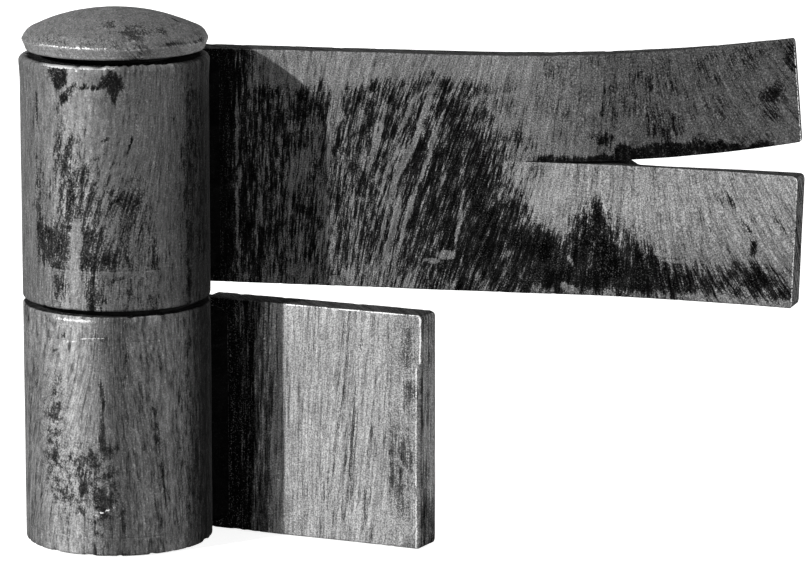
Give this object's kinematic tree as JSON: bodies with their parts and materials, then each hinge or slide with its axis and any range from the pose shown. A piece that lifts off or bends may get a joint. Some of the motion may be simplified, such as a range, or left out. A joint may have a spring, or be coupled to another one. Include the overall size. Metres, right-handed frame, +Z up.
{
  "type": "gate hinge",
  "caption": "Weld-on barrel gate hinge with a mushroom-headed pin, a short leaf to weld to the gate and a long leaf with a split, spread tail to wall in.",
  "frame": {"origin": "hinge axis at the foot of the lower barrel, where the hinge stands", "axes": "+Z up the hinge axis towards the pin's head, +X along the anchor leaf to its split tail, +Y to the leaves' back"},
  "size_m": [0.1651, 0.0426, 0.1142],
  "materials": {
    "worn_steel": "turned steel with black scale brushed through to grey metal",
    "leaf_steel": "hot-rolled flat bar with black scale brushed through in upright strokes",
    "weld_steel": "rippled weld bead under dark scale",
    "bearing_steel": "ground bearing steel, greased"
  },
  "bodies": {
    "wall_side": {"upper_barrel": "worn_steel", "anchor_leaf": "leaf_steel", "anchor_weld_front": "weld_steel", "anchor_weld_back": "weld_steel", "upper_race": "bearing_steel", "head_washer": "bearing_steel"},
    "gate_side": {"lower_barrel": "worn_steel", "gate_leaf": "leaf_steel", "gate_weld_front": "weld_steel", "gate_weld_back": "weld_steel", "hinge_pin": "worn_steel", "lower_race": "bearing_steel"},
    "ball_set": {"ball_cage": "bearing_steel", "bearing_balls": "bearing_steel"}
  },
  "joints": [
    {"name": "gate_swing", "type": "hinge", "parent": "wall_side", "child": "gate_side", "pos_m": [0, 0, 0], "axis": [0, 0, 1], "continuous": true},
    {"name": "ball_set_roll", "type": "hinge", "parent": "wall_side", "child": "ball_set", "pos_m": [0, 0, 0.0521], "axis": [0, 0, 1], "continuous": true}
  ],
  "couplings": [
    {"joint": "ball_set_roll", "follows": "gate_swing", "ratio": 0.5}
  ]
}
